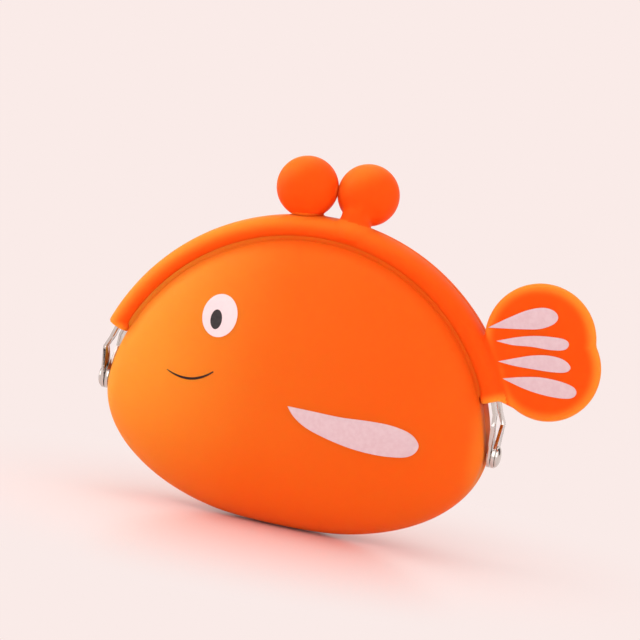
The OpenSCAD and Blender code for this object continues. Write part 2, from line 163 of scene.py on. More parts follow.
# Stage in metres: the sweep, the colour that the room shows, the flags' place and the soft lamps
FLOOR_R = 3.2
FLOOR_GAP = 0.0002
ROOM_SEEN = "#faebe8"
FLAG_AT = 0.66
LAMP_AIM = (0, 0, 0.04)
LAMPS = (
    ("window_left", (-1.0, -0.25, 0.45), 1.2, 7.2),
    ("front_fill", (0.15, -1.2, 0.6), 1.2, 6.4),
    ("right_fill", (1.0, -0.4, 0.3), 1.0, 4.5),
    ("top_soft", (0.05, 0.15, 1.0), 1.0, 2.8),
)

# Camera fitted to the photograph: its angles in degrees, and its shift and distance in metres
AZIMUTH, ELEVATION, ROLL = 12.4, 4.7, 10.3
CAMERA_RIGHT, CAMERA_UP, CAMERA_BACK = 0.00134, 0.0252, 0.783
LENS = 170.9


# Settings


class PurseSizes(bpy.types.PropertyGroup):
    """Sizes of the soft and printed pieces."""

    wall: bpy.props.FloatProperty(
        name="Silicone wall", description="Thickness of the pouch's wall", default=1.8 * MM, unit="LENGTH")
    pinch: bpy.props.FloatProperty(
        name="Gusset pinch", description="How far the side gussets are drawn in at their fold",
        default=0.25 * MM, unit="LENGTH")
    fuse: bpy.props.FloatProperty(
        name="Fusing grain", description="Grain at which rim, tail and ball flow into one moulding",
        default=0.34 * MM, unit="LENGTH")
    print_lift: bpy.props.FloatProperty(
        name="Print lift", description="Height of the pad-printed ink over the silicone", default=0.06 * MM,
        unit="LENGTH")
    dome_h: bpy.props.FloatProperty(
        name="Rivet dome", description="Height of a rivet's domed head", default=1.2 * MM, unit="LENGTH")
    dome_r: bpy.props.FloatProperty(
        name="Rivet head", description="Radius of a rivet's domed head", default=2.8 * MM, unit="LENGTH")


class PurseFinishes(bpy.types.PropertyGroup):
    """Colours of the purse's finishes, as sRGB values."""

    silicone: bpy.props.StringProperty(
        name="Silicone", description="Orange of the moulded silicone", default="#fb5510")
    # Painted light: this amber lightens the silicone on its lamp side and where light shines through its
    # edges
    silicone_painted_glow: bpy.props.StringProperty(
        name="Lamplit silicone", description="Amber of the silicone where it is thin and light passes",
        default="#ff9c34")
    ink_pale: bpy.props.StringProperty(
        name="Pale ink", description="Pinkish white of the fin and the tail stripes", default="#ddc3c9")
    ink_eye: bpy.props.StringProperty(
        name="Eye white", description="White of the eye", default="#f7dee1")
    ink_dark: bpy.props.StringProperty(
        name="Dark ink", description="Near black of the pupil", default="#3a3537")
    ink_smile: bpy.props.StringProperty(
        name="Smile ink", description="Brown black of the smile", default="#2c100c")
    nickel: bpy.props.StringProperty(
        name="Nickel", description="Bright nickel plating of the frame", default="#dcd9d5")


# Colours and nodes


def linear(hex_colour):
    """An sRGB hex value as a linear colour with full alpha."""
    parts = [int(hex_colour[i:i + 2], 16) / 255 for i in (1, 3, 5)]
    return [c / 12.92 if c <= 0.04045 else ((c + 0.055) / 1.055) ** 2.4 for c in parts] + [1.0]


def add(tree, kind, inputs=None, **settings):
    """Adds a node with its settings; an input is a value or the output socket that feeds it."""
    node = tree.nodes.new(kind)
    for key, value in settings.items():
        setattr(node, key, value)
    for key, value in (inputs or {}).items():
        socket = node.inputs[key]
        if isinstance(value, bpy.types.NodeSocket):
            tree.links.new(value, socket)
        else:
            socket.default_value = value
    return node


def new_material(name):
    """An empty material with its output node."""
    material = bpy.data.materials.new(name)
    material.use_nodes = True
    tree = material.node_tree
    tree.nodes.clear()
    return material, tree, add(tree, "ShaderNodeOutputMaterial")


def moulded_silicone(colours):
    """Liquid silicone rubber from a bead-blasted tool: satin, faintly see-through, very fine grain."""
    material, tree, out = new_material("moulded_silicone_satin")
    place = add(tree, "ShaderNodeTexCoord")
    # Slow drift of the pigment, about 25 mm across
    drift = add(tree, "ShaderNodeTexNoise", {
        "Vector": place.outputs["Object"], "Scale": 40.0, "Detail": 2.0})
    # Painted light: the attribute thin holds where the silicone is painted lighter, as if lamplit and lit
    # through, and this mix takes it to amber there
    thin = add(tree, "ShaderNodeAttribute", attribute_name="thin")
    tone = add(tree, "ShaderNodeMix", {
        "Factor": drift.outputs["Fac"], "A": linear(colours.silicone), "B": linear("#f95a12")},
        data_type="RGBA")
    glow = add(tree, "ShaderNodeMix", {
        "Factor": thin.outputs["Fac"], "A": tone.outputs["Result"], "B": linear(colours.silicone_painted_glow)},
        data_type="RGBA")
    # Blasted tool skin: grains of about 0.25 mm, drawn coarser than the real 0.05 mm so that they show
    grain = add(tree, "ShaderNodeTexNoise", {
        "Vector": place.outputs["Object"], "Scale": 4000.0, "Detail": 3.0, "Roughness": 0.6})
    bump = add(tree, "ShaderNodeBump", {
        "Height": grain.outputs["Fac"], "Strength": 0.06, "Distance": 0.0001})
    # Handling leaves faintly glossier patches, about 15 mm across
    wear = add(tree, "ShaderNodeTexNoise", {
        "Vector": place.outputs["Object"], "Scale": 70.0, "Detail": 3.0})
    rough = add(tree, "ShaderNodeMapRange", {"Value": wear.outputs["Fac"], "To Min": 0.42, "To Max": 0.56})
    skin = add(tree, "ShaderNodeBsdfPrincipled", {
        "Base Color": glow.outputs["Result"], "Roughness": rough.outputs["Result"],
        "Normal": bump.outputs["Normal"], "IOR": 1.41, "Specular IOR Level": 0.1,
        "Specular Tint": (1.0, 0.66, 0.3, 1.0), "Subsurface Weight": 0.6,
        "Subsurface Radius": (1.0, 0.3, 0.08), "Subsurface Scale": 0.005})
    tree.links.new(skin.outputs["BSDF"], out.inputs["Surface"])
    return material


def printed_ink(name, colour, mottled):
    """Pad-printed silicone ink: matt, with the faint mottle that the pad leaves."""
    material, tree, out = new_material(name)
    place = add(tree, "ShaderNodeTexCoord")
    # Mottle of about 1 mm
    mottle = add(tree, "ShaderNodeTexNoise", {
        "Vector": place.outputs["Object"], "Scale": 900.0, "Detail": 4.0})
    spread = add(tree, "ShaderNodeMapRange", {
        "Value": mottle.outputs["Fac"], "From Min": 0.35, "From Max": 0.65})
    tone = add(tree, "ShaderNodeMix", {
        "Factor": spread.outputs["Result"], "A": linear(colour), "B": linear(mottled)}, data_type="RGBA")
    bump = add(tree, "ShaderNodeBump", {
        "Height": mottle.outputs["Fac"], "Strength": 0.05, "Distance": 0.0001})
    skin = add(tree, "ShaderNodeBsdfPrincipled", {
        "Base Color": tone.outputs["Result"], "Normal": bump.outputs["Normal"], "Roughness": 0.55,
        "IOR": 1.45, "Specular IOR Level": 0.3})
    tree.links.new(skin.outputs["BSDF"], out.inputs["Surface"])
    return material


def nickel_plate(colours):
    """Bright nickel over rolled steel strip: mirror-like, with fine rolling lines under the plating."""
    material, tree, out = new_material("bright_nickel_on_rolled_steel")
    place = add(tree, "ShaderNodeTexCoord")
    # Rolling lines along the strip, about 0.15 mm apart
    lay = add(tree, "ShaderNodeMapping", {
        "Vector": place.outputs["Object"], "Scale": (600.0, 6500.0, 600.0)})
    lines = add(tree, "ShaderNodeTexNoise", {"Vector": lay.outputs["Vector"], "Scale": 1.0, "Detail": 2.0})
    bump = add(tree, "ShaderNodeBump", {
        "Height": lines.outputs["Fac"], "Strength": 0.05, "Distance": 0.00005})
    haze = add(tree, "ShaderNodeTexNoise", {
        "Vector": place.outputs["Object"], "Scale": 500.0, "Detail": 3.0})
    rough = add(tree, "ShaderNodeMapRange", {"Value": haze.outputs["Fac"], "To Min": 0.08, "To Max": 0.2})
    tone = add(tree, "ShaderNodeMix", {
        "Factor": haze.outputs["Fac"], "A": linear(colours.nickel), "B": linear("#c6c1bb")},
        data_type="RGBA")
    metal = add(tree, "ShaderNodeBsdfPrincipled", {
        "Base Color": tone.outputs["Result"], "Roughness": rough.outputs["Result"],
        "Normal": bump.outputs["Normal"], "Metallic": 1.0})
    tree.links.new(metal.outputs["BSDF"], out.inputs["Surface"])
    return material


def shared_silicone(scene):
    """The pouch and the rims have one and the same silicone."""
    return bpy.data.materials.get("moulded_silicone_satin") or moulded_silicone(scene.purse_finishes)


# The pouch's form


def smooth(a, b, x):
    """Runs softly from 0 at a to 1 at b."""
    t = np.clip((x - a) / (b - a), 0, 1)
    return t * t * (3 - 2 * t)


def outline_r(angle, in_by):
    """Distance of the outline from the hinge line's middle at an angle, in_by inside the skin."""
    c, s = np.cos(angle), np.sin(angle)
    up = np.sqrt(np.maximum((GROOVE_R - in_by) ** 2 - (ARCH_DROP * c) ** 2, 0)) - ARCH_DROP * s
    side = math.sqrt((GROOVE_R - in_by) ** 2 - ARCH_DROP ** 2)
    across, down = np.abs(c) / side, np.abs(s) / (BELLY_DROP - in_by)
    low = (across ** OUTLINE_POWER + down ** OUTLINE_POWER) ** (-1 / OUTLINE_POWER)
    return np.where(s >= 0, up, low)


def edge_half(angle, in_by):
    """Half the pouch's thickness along its outline."""
    rise = LEAST_EDGE + (GROOVE_HALF - LEAST_EDGE) * smooth(math.radians(-30), math.radians(12), angle)
    return np.maximum(LEAST_EDGE / 2, rise - in_by)


def skin_half(share, angle, in_by):
    """Half the pouch's thickness at a share of the way out to the outline."""
    e = edge_half(angle, in_by)
    return e + (BELLY_HALF - in_by - e) * np.maximum(0, 1 - share ** DOME_POWER) ** SHOULDER_POWER


def depth_at(x, h):
    """Half the pouch's thickness at a point seen from the front."""
    angle = np.arctan2(h, np.abs(x))
    share = np.minimum(1, np.hypot(x, h) / outline_r(angle, 0.0))
    return skin_half(share, angle, 0.0)


def shade_smooth(mesh):
    """Shades every face of a mesh smooth."""
    for polygon in mesh.polygons:
        polygon.use_smooth = True


def mesh_object(name, points_mm, faces, material):
    """A mesh object at the origin from points in millimetres about the hinge line's middle."""
    mesh = bpy.data.meshes.new(name)
    points = (np.asarray(points_mm, float) + (0, 0, HINGE_H)) * MM
    mesh.from_pydata(points.tolist(), [], [tuple(int(i) for i in f) for f in faces])
    mesh.validate()
    shade_smooth(mesh)
    obj = bpy.data.objects.new(name, mesh)
    bpy.context.scene.collection.objects.link(obj)
    mesh.materials.append(material)
    return obj


def close_up(obj, merge=1e-6):
    """Merges doubles and turns every face outwards."""
    bm = bmesh.new()
    bm.from_mesh(obj.data)
    bmesh.ops.remove_doubles(bm, verts=bm.verts, dist=merge)
    bmesh.ops.dissolve_degenerate(bm, edges=bm.edges, dist=merge / 10)
    bmesh.ops.recalc_face_normals(bm, faces=bm.faces)
    bm.to_mesh(obj.data)
    bm.free()
    return obj


def channelled(rows, r_out, angle, height):
    """Lifts the outer rings to a soft channel that meets the rim's roll at the same slope."""
    upper = smooth(SLEEVE_H - 6, SLEEVE_H + 3, height)
    for i in range(RINGS + 1):
        x, y, h = rows[i]
        r = np.hypot(x, h)
        near = smooth(-12, -5, r - r_out)
        share = np.minimum(1, r / (r_out - CHANNEL_IN * upper * near))
        dome = skin_half(share, angle, 0.0) + CHANNEL_RISE * near
        lip = np.maximum(0, r - r_out + LIP_START)
        rise = np.where(lip < LIP_SPAN, LIP_CURVE * lip ** 2, LIP_RISE + LIP_SLOPE * (lip - LIP_SPAN))
        rows[i] = (x, y + upper * (dome + rise - y), h)
    for _ in range(CHANNEL_PASSES):
        for i in CHANNEL_RINGS:
            x, y, h = rows[i]
            even = (rows[i - 1][1] + 2 * y + rows[i + 1][1]) / 4
            rows[i] = (x, y + upper * (even - y), h)


def wall_rows(wall, pinch):
    """Rings over the dome, round its edge and back along the inside, and how many of them are outside."""
    turn = np.linspace(0, 2 * np.pi, SPOKES, endpoint=False)
    cos, sin = np.cos(turn), np.sin(turn)
    angle = np.arcsin(sin)
    shares = np.sin(np.linspace(0, np.pi / 2, RINGS + 1))
    r_out, r_in = outline_r(angle, 0.0), outline_r(angle, wall)
    e_out, e_in = edge_half(angle, 0.0), edge_half(angle, wall)
    height = r_out * sin
    # The wall runs on to the parting plane below the sleeves, and ends under the rim above them
    open_top = smooth(SLEEVE_H - 1.9, SLEEVE_H + 1.6, height)
    end = e_in * open_top
    fold = pinch * smooth(-10, 3, height) * (1 - open_top)
    # Above the sleeves' ends the wall is one with the rim, so it runs on into it
    tuck = RIM_TUCK * smooth(SLEEVE_H + 0.2, SLEEVE_H + 2, height)
    rows = [(s * r_out * cos, skin_half(s, angle, 0.0), s * r_out * sin) for s in shares]
    rows[-1] = ((r_out + tuck) * cos, e_out, (r_out + tuck) * sin)
    for t in np.arange(1, EDGE_ROWS + 1) / EDGE_ROWS:
        draw = 1 - (fold * smooth(0.35, 1.0, t) - tuck * (1 - t) ** 0.5) / r_out
        rows.append((r_out * draw * cos, e_out + (end - e_out) * t, r_out * draw * sin))
    outer = len(rows)
    for t in (0, 0.5, 1):
        draw = 1 - fold * (1 - t) / r_out
        rows.append((r_in * draw * cos, end + (e_in - end) * t, r_in * draw * sin))
    for s in shares[::-1][1:]:
        rows.append((s * r_in * cos, skin_half(s, angle, wall), s * r_in * sin))
    channelled(rows, r_out, angle, height)
    return rows, outer


def on_base(h):
    """Heights over the hinge line, run out softly into the flat base."""
    up = h + HINGE_H
    sunk = BASE_SOFTNESS * math.log1p(math.exp(-(BELLY_DROP - HINGE_H) / BASE_SOFTNESS))
    soft = BASE_SOFTNESS * np.logaddexp(0, up / BASE_SOFTNESS)
    return soft - HINGE_H - sunk * np.exp(-np.maximum(up, 0) / 2)


def half_skin(name, side, sizes, material):
    """One half of the silicone pouch as a closed wall, from the keel to the groove under the rim."""
    rows, outer = wall_rows(sizes.wall / MM, sizes.pinch / MM)
    rings = []
    for i, (x, y, h) in enumerate(rows):
        h = on_base(h) if i < outer else np.maximum(h, FLOOR_WALL - HINGE_H)
        rings.append(np.stack([x, side * y, h], 1))
    middle, inner_middle = rings[0].mean(0), rings[-1].mean(0)
    points = np.concatenate([[middle], *rings[1:-1], [inner_middle]])
    last = len(points) - 1
    faces = []
    for j in range(SPOKES):
        j2 = (j + 1) % SPOKES
        faces.append((0, 1 + j, 1 + j2))
        for start in range(1, last - SPOKES, SPOKES):
            faces.append((start + j, start + SPOKES + j, start + SPOKES + j2, start + j2))
        faces.append((last - SPOKES + j, last, last - SPOKES + j2))
    return close_up(mesh_object(name, points, faces, material))


# Rims, tail and balls


def rim_section():
    """Section of one rim as (radius, distance from the parting plane) in millimetres."""
    mid = RIM_IN + RIM_ROLL
    crest = []
    for i in range(13):
        a = math.radians(90 * i / 12)
        crest.append((mid + (RIM_OUT - mid) * math.cos(a) ** CREST_POWER,
                      PARTING + (RIM_DEPTH - PARTING) * math.sin(a) ** CREST_POWER))
    roll = []
    for i in range(1, 7):
        a = math.radians(90 * i / 6)
        roll.append((mid - RIM_ROLL * math.sin(a), RIM_DEPTH - RIM_ROLL * (1 - math.cos(a))))
    return [(RIM_IN, PARTING)] + crest + roll


def sweep_tree():
    """Geometry Nodes: sweeps a section along an arc of the arch, with the ends closed."""
    tree = bpy.data.node_groups.new("sleeve_along_arch", "GeometryNodeTree")
    face = tree.interface
    face.new_socket("Geometry", in_out="INPUT", socket_type="NodeSocketGeometry")
    for name, value in (("Arch radius", FRAME_R * MM), ("Start angle", 0.36), ("Sweep angle", 2.4)):
        socket = face.new_socket(name, in_out="INPUT", socket_type="NodeSocketFloat")
        socket.default_value = value
    steps = face.new_socket("Steps", in_out="INPUT", socket_type="NodeSocketInt")
    steps.default_value = 180
    face.new_socket("Section", in_out="INPUT", socket_type="NodeSocketObject")
    face.new_socket("Finish", in_out="INPUT", socket_type="NodeSocketMaterial")
    face.new_socket("Geometry", in_out="OUTPUT", socket_type="NodeSocketGeometry")
    entry = add(tree, "NodeGroupInput")
    leave = add(tree, "NodeGroupOutput")
    arc = add(tree, "GeometryNodeCurveArc", {
        "Resolution": entry.outputs["Steps"], "Radius": entry.outputs["Arch radius"],
        "Start Angle": entry.outputs["Start angle"], "Sweep Angle": entry.outputs["Sweep angle"]})
    shape = add(tree, "GeometryNodeObjectInfo", {"Object": entry.outputs["Section"]})
    outline = add(tree, "GeometryNodeMeshToCurve", {"Mesh": shape.outputs["Geometry"]})
    swept = add(tree, "GeometryNodeCurveToMesh", {
        "Curve": arc.outputs["Curve"], "Profile Curve": outline.outputs["Curve"], "Fill Caps": True})
    real = add(tree, "GeometryNodeRealizeInstances", {"Geometry": swept.outputs["Mesh"]})
    coat = add(tree, "GeometryNodeSetMaterial", {
        "Geometry": real.outputs["Geometry"], "Material": entry.outputs["Finish"]})
    tree.links.new(coat.outputs["Geometry"], leave.inputs["Geometry"])
    return tree


def made_plain(obj, name):
    """The evaluated object as a plain mesh object; the old one is removed."""
    bpy.context.view_layer.update()
    shape = obj.evaluated_get(bpy.context.evaluated_depsgraph_get())
    mesh = bpy.data.meshes.new_from_object(shape)
    old = obj.data
    bpy.data.objects.remove(obj)
    if old.users == 0:
        bpy.data.meshes.remove(old)
    mesh.name = name
    plain = bpy.data.objects.new(name, mesh)
    bpy.context.scene.collection.objects.link(plain)
    return plain


def set_inputs(modifier, values):
    """Sets a modifier's inputs by their sockets' identifiers."""
    for item in modifier.node_group.interface.items_tree:
        if item.item_type == "SOCKET" and item.in_out == "INPUT" and item.name in values:
            modifier[item.identifier] = values[item.name]


def swept_sleeve(name, material):
    """The front rim's sleeve, swept along the arch in its own plane and then stood up."""
    outline = rim_section()
    mesh = bpy.data.meshes.new("section")
    # The sweep lays the section's X outwards along the arch's radius, and its Y down the plane's normal
    mesh.from_pydata([((r - FRAME_R) * MM, y * MM, 0) for r, y in outline],
                     [(i, (i + 1) % len(outline)) for i in range(len(outline))], [])
    section = bpy.data.objects.new("section", mesh)
    bpy.context.scene.collection.objects.link(section)
    start = math.asin((SLEEVE_H + ARCH_DROP) / FRAME_R)
    host = bpy.data.objects.new(name, bpy.data.meshes.new(name))
    bpy.context.scene.collection.objects.link(host)
    sweep = host.modifiers.new("sweep", "NODES")
    sweep.node_group = bpy.data.node_groups.get("sleeve_along_arch") or sweep_tree()
    set_inputs(sweep, {
        "Arch radius": FRAME_R * MM, "Start angle": start, "Sweep angle": math.pi - 2 * start,
        "Steps": 200, "Section": section, "Finish": material})
    plain = made_plain(host, name)
    bpy.data.objects.remove(section)
    co = np.array([v.co for v in plain.data.vertices])
    stood = np.stack([co[:, 0], co[:, 2], co[:, 1] + (HINGE_H - ARCH_DROP) * MM], 1)
    plain.data.vertices.foreach_set("co", stood.astype(np.float32).ravel())
    plain.data.update()
    return close_up(plain)


def revolved(name, profile, spokes, material, place):
    """A closed solid turned about local Z from (radius, height) in millimetres; place maps its points."""
    points, faces = [], []
    for r, z in profile:
        for j in range(spokes):
            a = 2 * math.pi * j / spokes
            points.append(place(Vector((r * math.cos(a), r * math.sin(a), z))))
    for i in range(len(profile) - 1):
        for j in range(spokes):
            j2 = (j + 1) % spokes
            p, q = i * spokes, (i + 1) * spokes
            faces.append((p + j, p + j2, q + j2, q + j))
    return close_up(mesh_object(name, [tuple(p) for p in points], faces, material), 1e-7)


def clasp_ball(side, material):
    """The silicone ball over its bead, with the neck that grows from the rim."""
    ball_x, lower, neck_x, neck_r = BALLS[side]
    reach = BALL_R + BALL_LOSS
    turn = [math.pi * i / 48 for i in range(49)]
    ball = revolved("ball", [(reach * math.sin(a), -reach * math.cos(a)) for a in turn], 72, material,
                    lambda p: p + Vector((ball_x, BALL_LEAN, BALL_H - lower)))
    foot = math.sqrt(FRAME_R ** 2 - STEM_X ** 2) - ARCH_DROP - 1
    top = BALL_H - BALL_R / 2
    flare = [(0, foot)]
    for z in np.linspace(foot, top, 30):
        over_foot = max(0, z - foot - NECK_FOOT)
        flare.append((neck_r + NECK_FLARE * math.exp(-over_foot / NECK_FLARE), z))
    flare.append((0, top))
    neck = revolved("neck", flare, 48, material, lambda p: p + Vector((neck_x, NECK_Y, 0)))
    return ball, neck


def lobe(x, h, r, material):
    """One lobe of the tail: a disc with a rounded edge."""
    half = TAIL_T / 2
    edge = []
    for degrees in range(0, 91, 9):
        a = math.radians(degrees)
        edge.append((r - TAIL_ROUND * (1 - math.cos(a)), half - TAIL_ROUND * (1 - math.sin(a))))
    profile = [(0, -half)] + [(p, -q) for p, q in edge[::-1]] + edge + [(0, half)]
    return revolved("lobe", profile, 128, material, lambda p: Vector((x + p.x, -STRIP_Y - p.z, h + p.y)))


def tail_web(material):
    """The web between the two lobes and the rim."""
    half = TAIL_T / 2 - WEB_SUNK
    points = [(x, y - STRIP_Y, h) for y in (half, -half) for x, h in WEB]
    n = len(WEB)
    faces = [tuple(range(n)), tuple(range(2 * n - 1, n - 1, -1))]
    faces += [(i, (i + 1) % n, n + (i + 1) % n, n + i) for i in range(n)]
    return close_up(mesh_object("web", points, faces, material))


def points_of(obj):
    """An object's points in millimetres about the hinge line's middle."""
    co = np.zeros(len(obj.data.vertices) * 3)
    obj.data.vertices.foreach_get("co", co)
    return co.reshape(-1, 3) / MM - (0, 0, HINGE_H)


def softened(obj, name, passes):
    """Adds passes of smoothing to an object."""
    modifier = obj.modifiers.new(name, "SMOOTH")
    modifier.factor = 0.5
    modifier.iterations = passes
    return modifier


def fused(name, parts, grain, material):
    """Lets overlapping solids flow into one moulding, with soft fillets where they meet."""
    bpy.ops.object.select_all(action="DESELECT")
    for part in parts:
        part.select_set(True)
    bpy.context.view_layer.objects.active = parts[0]
    bpy.ops.object.join()
    whole = bpy.context.view_layer.objects.active
    remesh = whole.modifiers.new("fuse", "REMESH")
    remesh.mode = "VOXEL"
    remesh.voxel_size = grain
    remesh.use_smooth_shade = True
    whole = made_plain(whole, "whole")
    softened(whole, "soften", SOFTEN_PASSES)
    # The neck flows into its ball and rim with wider fillets
    x, y, h = points_of(whole).T
    mid_x, mid_y, mid_h = FILLET_AT
    from_axis = np.hypot(x - mid_x, y - mid_y)
    away = np.hypot(from_axis, np.maximum(0, np.abs(h - mid_h) - FILLET_HALF))
    weight = 1 - smooth(*FILLET_FADE, away)
    neck = whole.vertex_groups.new(name="neck")
    for index in np.flatnonzero(weight > 0.01):
        neck.add([int(index)], float(weight[index]), "REPLACE")
    softened(whole, "fillet", FILLET_PASSES).vertex_group = "neck"
    plain = made_plain(whole, name)
    plain.vertex_groups.clear()
    plain.data.materials.clear()
    plain.data.materials.append(material)
    shade_smooth(plain.data)
    return plain


def mark_painted_light(obj, measure):
    """Stores at each point how much painted light the finish gets, as the attribute thin; it lightens to
    amber there.
    """
    attribute = obj.data.attributes.new("thin", "FLOAT", "POINT")
    attribute.data.foreach_set("value", measure(points_of(obj)).astype(np.float32))


def rim_painted_light(co):
    """Painted light: the sleeves' ends glow as if lit through, and the ball covers' upper side and the crest
    over the head lighten.
    """
    x, _, h = co.T
    from_arch = np.hypot(x, h + ARCH_DROP)
    on_rim = from_arch < RIM_OUT + 0.4
    start = math.asin((SLEEVE_H + ARCH_DROP) / FRAME_R)
    past_end = (np.arctan2(h + ARCH_DROP, np.abs(x)) - start) * FRAME_R
    ends = (1 - smooth(0.1, 2.6, past_end)) * on_rim
    crest = 0.9 * smooth(RIM_IN + 1.4, RIM_OUT - 0.6, from_arch) * smooth(40, -35, x)
    outwards = 0.8 * (h - BALL_H) - 0.6 * (np.abs(x) - BALL_X) * np.sign(x)
    ball = smooth(0, 8, outwards) * (h > BALL_H - 12)
    return np.maximum(0.9 * ends, np.where(on_rim, crest, 0.5 * ball))


def front_rim_painted_light(co):
    """Painted light also glows along the tail's edge."""
    x, _, h = co.T
    inside = np.max([r - np.hypot(x - lobe_x, h - lobe_h) for lobe_x, lobe_h, r in LOBES], 0)
    off_rim = smooth(57.0, 58.5, np.hypot(x, h + ARCH_DROP)) * (x > 40)
    return np.maximum(0.75 * (1 - smooth(0.2, 3.2, inside)) * off_rim, rim_painted_light(co))


def skin_painted_light_and_shade(co):
    """Painted light on the pouch: amber strongest over the head, on the lamp side, less towards the belly
    and the tail.
    """
    x, _, h = co.T
    head = 0.7 * smooth(-2, -46, x) * (0.55 + 0.45 * smooth(-24, 14, h))
    tone = 0.12 + 0.14 * smooth(30, -20, x) * smooth(-24, 0, h) + head
    # Painted shade: less amber in the channel under the rim
    channel_shade = smooth(GROOVE_R - 3.2, GROOVE_R - 0.6, np.hypot(x, h + ARCH_DROP)) * smooth(8, 16, h)
    # Painted light through the side edges adds amber there, outside the channel
    return tone * (1 - 0.4 * channel_shade) + 0.25 * smooth(45.5, 49.5, np.abs(x)) * (1 - channel_shade)


# Printed marks


def through(points, steps):
    """A closed smooth curve through points; a point given as a corner stays sharp."""
    n = len(points)
    curve = []
    for i in range(n):
        p0, p1, p2, p3 = (points[(i + k) % n] for k in (-1, 0, 1, 2))
        a, b = np.array(p1[:2], float), np.array(p2[:2], float)
        ta = np.zeros(2) if len(p1) > 2 else (b - np.array(p0[:2])) * 0.5
        tb = np.zeros(2) if len(p2) > 2 else (np.array(p3[:2]) - a) * 0.5
        for k in range(steps):
            t = k / steps
            curve.append((2 * t ** 3 - 3 * t ** 2 + 1) * a + (t ** 3 - 2 * t ** 2 + t) * ta
                         + (-2 * t ** 3 + 3 * t ** 2) * b + (t ** 3 - t ** 2) * tb)
    return np.array(curve)


def ellipse(w, h, tilt, middle, n=96):
    """An ellipse of a width and height, tilted by some degrees about its middle."""
    t = np.linspace(0, 2 * np.pi, n, endpoint=False)
    x, y = w / 2 * np.cos(t), h / 2 * np.sin(t)
    c, s = math.cos(math.radians(tilt)), math.sin(math.radians(tilt))
    return np.stack([middle[0] + x * c - y * s, middle[1] + x * s + y * c], 1)


def turned(points, degrees):
    """Points in the front plane, seen along axes that are turned by an angle."""
    c, s = math.cos(math.radians(degrees)), math.sin(math.radians(degrees))
    return np.stack([points[:, 0] * c + points[:, 1] * s, -points[:, 0] * s + points[:, 1] * c], 1)


def patch(name, outline, tilt, lift, surface, material, along, across):
    """A thin print that follows a surface: a grid between the lower and upper side of its outline, which is
    read along an axis tilted by some degrees; the lift runs out at the edge."""
    flat = turned(outline, tilt)
    first, last = int(flat[:, 0].argmin()), int(flat[:, 0].argmax())
    loop = np.roll(flat, -first, axis=0)
    last = (last - first) % len(loop)
    sides = [loop[:last + 1], np.concatenate([loop[last:], loop[:1]])[::-1]]
    u = (1 - np.cos(np.linspace(0, np.pi, along + 1))) / 2
    x = loop[0, 0] + (loop[last, 0] - loop[0, 0]) * u
    one, two = (np.interp(x, side[:, 0], side[:, 1]) for side in sides)
    v = (1 - np.cos(np.linspace(0, np.pi, across + 1))) / 2
    points, row = [], across + 1
    for k in range(along + 1):
        y = one[k] + (two[k] - one[k]) * v
        for m, (px, ph) in enumerate(turned(np.stack([np.full(row, x[k]), y], 1), -tilt)):
            from_edge = min(v[m], 1 - v[m]) * abs(two[k] - one[k]) if 0 < k < along else 0.0
            up = lift * (0.35 + 0.65 * min(1.0, from_edge / 0.12))
            points.append((px, surface(px, ph) - up, ph))
    count = len(points)
    points += [(px, surface(px, ph) + 0.12, ph) for px, _, ph in points]
    faces = []
    for p in (k * row for k in range(along)):
        q = p + row
        for m in range(across):
            faces.append((p + m, p + m + 1, q + m + 1, q + m))
            faces.append((count + p + m, count + q + m, count + q + m + 1, count + p + m + 1))
        for m in (0, across):
            faces.append((p + m, q + m, count + q + m, count + p + m))
    obj = close_up(mesh_object(name, points, faces, material), 1e-7)
    mark_sharp(obj, 50)
    return obj


def smile_outline():
    """The smile's line, thin at its ends and fullest right of its middle."""
    way = np.array(SMILE_WAY)
    u = np.linspace(0, 1, 41)
    steps = np.linspace(0, 1, len(way))
    way = np.stack([np.interp(u, steps, way[:, k]) for k in (0, 1)], 1)
    for _ in range(6):
        way[1:-1] = (way[:-2] + 2 * way[1:-1] + way[2:]) / 4
    slope = np.gradient(way, axis=0)
    slope /= np.linalg.norm(slope, axis=1)[:, None]
    across = np.stack([-slope[:, 1], slope[:, 0]], 1)
    half = (SMILE_END + SMILE_SWELL * np.sin(np.pi * u) ** 0.8 + SMILE_GROWTH * u)[:, None]
    return np.concatenate([way - across * half, (way + across * half)[::-1]])


def stripe_outline(points, tilt):
    """A tail stripe drawn a little slimmer about its tip's axis, and a little higher."""
    shape = through(points, 9)
    axis = np.array([math.cos(math.radians(tilt)), math.sin(math.radians(tilt))])
    along = shape[0] + ((shape - shape[0]) @ axis)[:, None] * axis
    return along + STRIPE_SLIM * (shape - along) + (0, STRIPE_RISE)


def mark_sharp(obj, degrees):
    """Marks the edges that turn by more than an angle as sharp."""
    bm = bmesh.new()
    bm.from_mesh(obj.data)
    for edge in bm.edges:
        if len(edge.link_faces) == 2 and edge.calc_face_angle() > math.radians(degrees):
            edge.smooth = False
    bm.to_mesh(obj.data)
    bm.free()


def on_belly(x, h):
    """The front skin's Y at a point seen from the front."""
    return float(-depth_at(np.array(x), np.array(h)))


def on_tail(x, h):
    """The tail's front face."""
    return -STRIP_Y - TAIL_T / 2


# Operators


class PURSE_OT_pouch(bpy.types.Operator):
    """Moulds the two halves of the soft pouch"""

    bl_idname = "purse.pouch"
    bl_label = "Soft pouch"

    def execute(self, context):
        scene = context.scene
        silicone = shared_silicone(scene)
        halves = (("pouch_front_skin", -1, "front_half"), ("pouch_back_skin", 1, "back_half"))
        for name, side, body in halves:
            skin = half_skin(name, side, scene.purse_sizes, silicone)
            mark_painted_light(skin, skin_painted_light_and_shade)
            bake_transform(skin)
            if side < 0:
                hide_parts("pouch_bowl", "front_shoulder")
            else:
                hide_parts("back_shoulder")
        return {"FINISHED"}


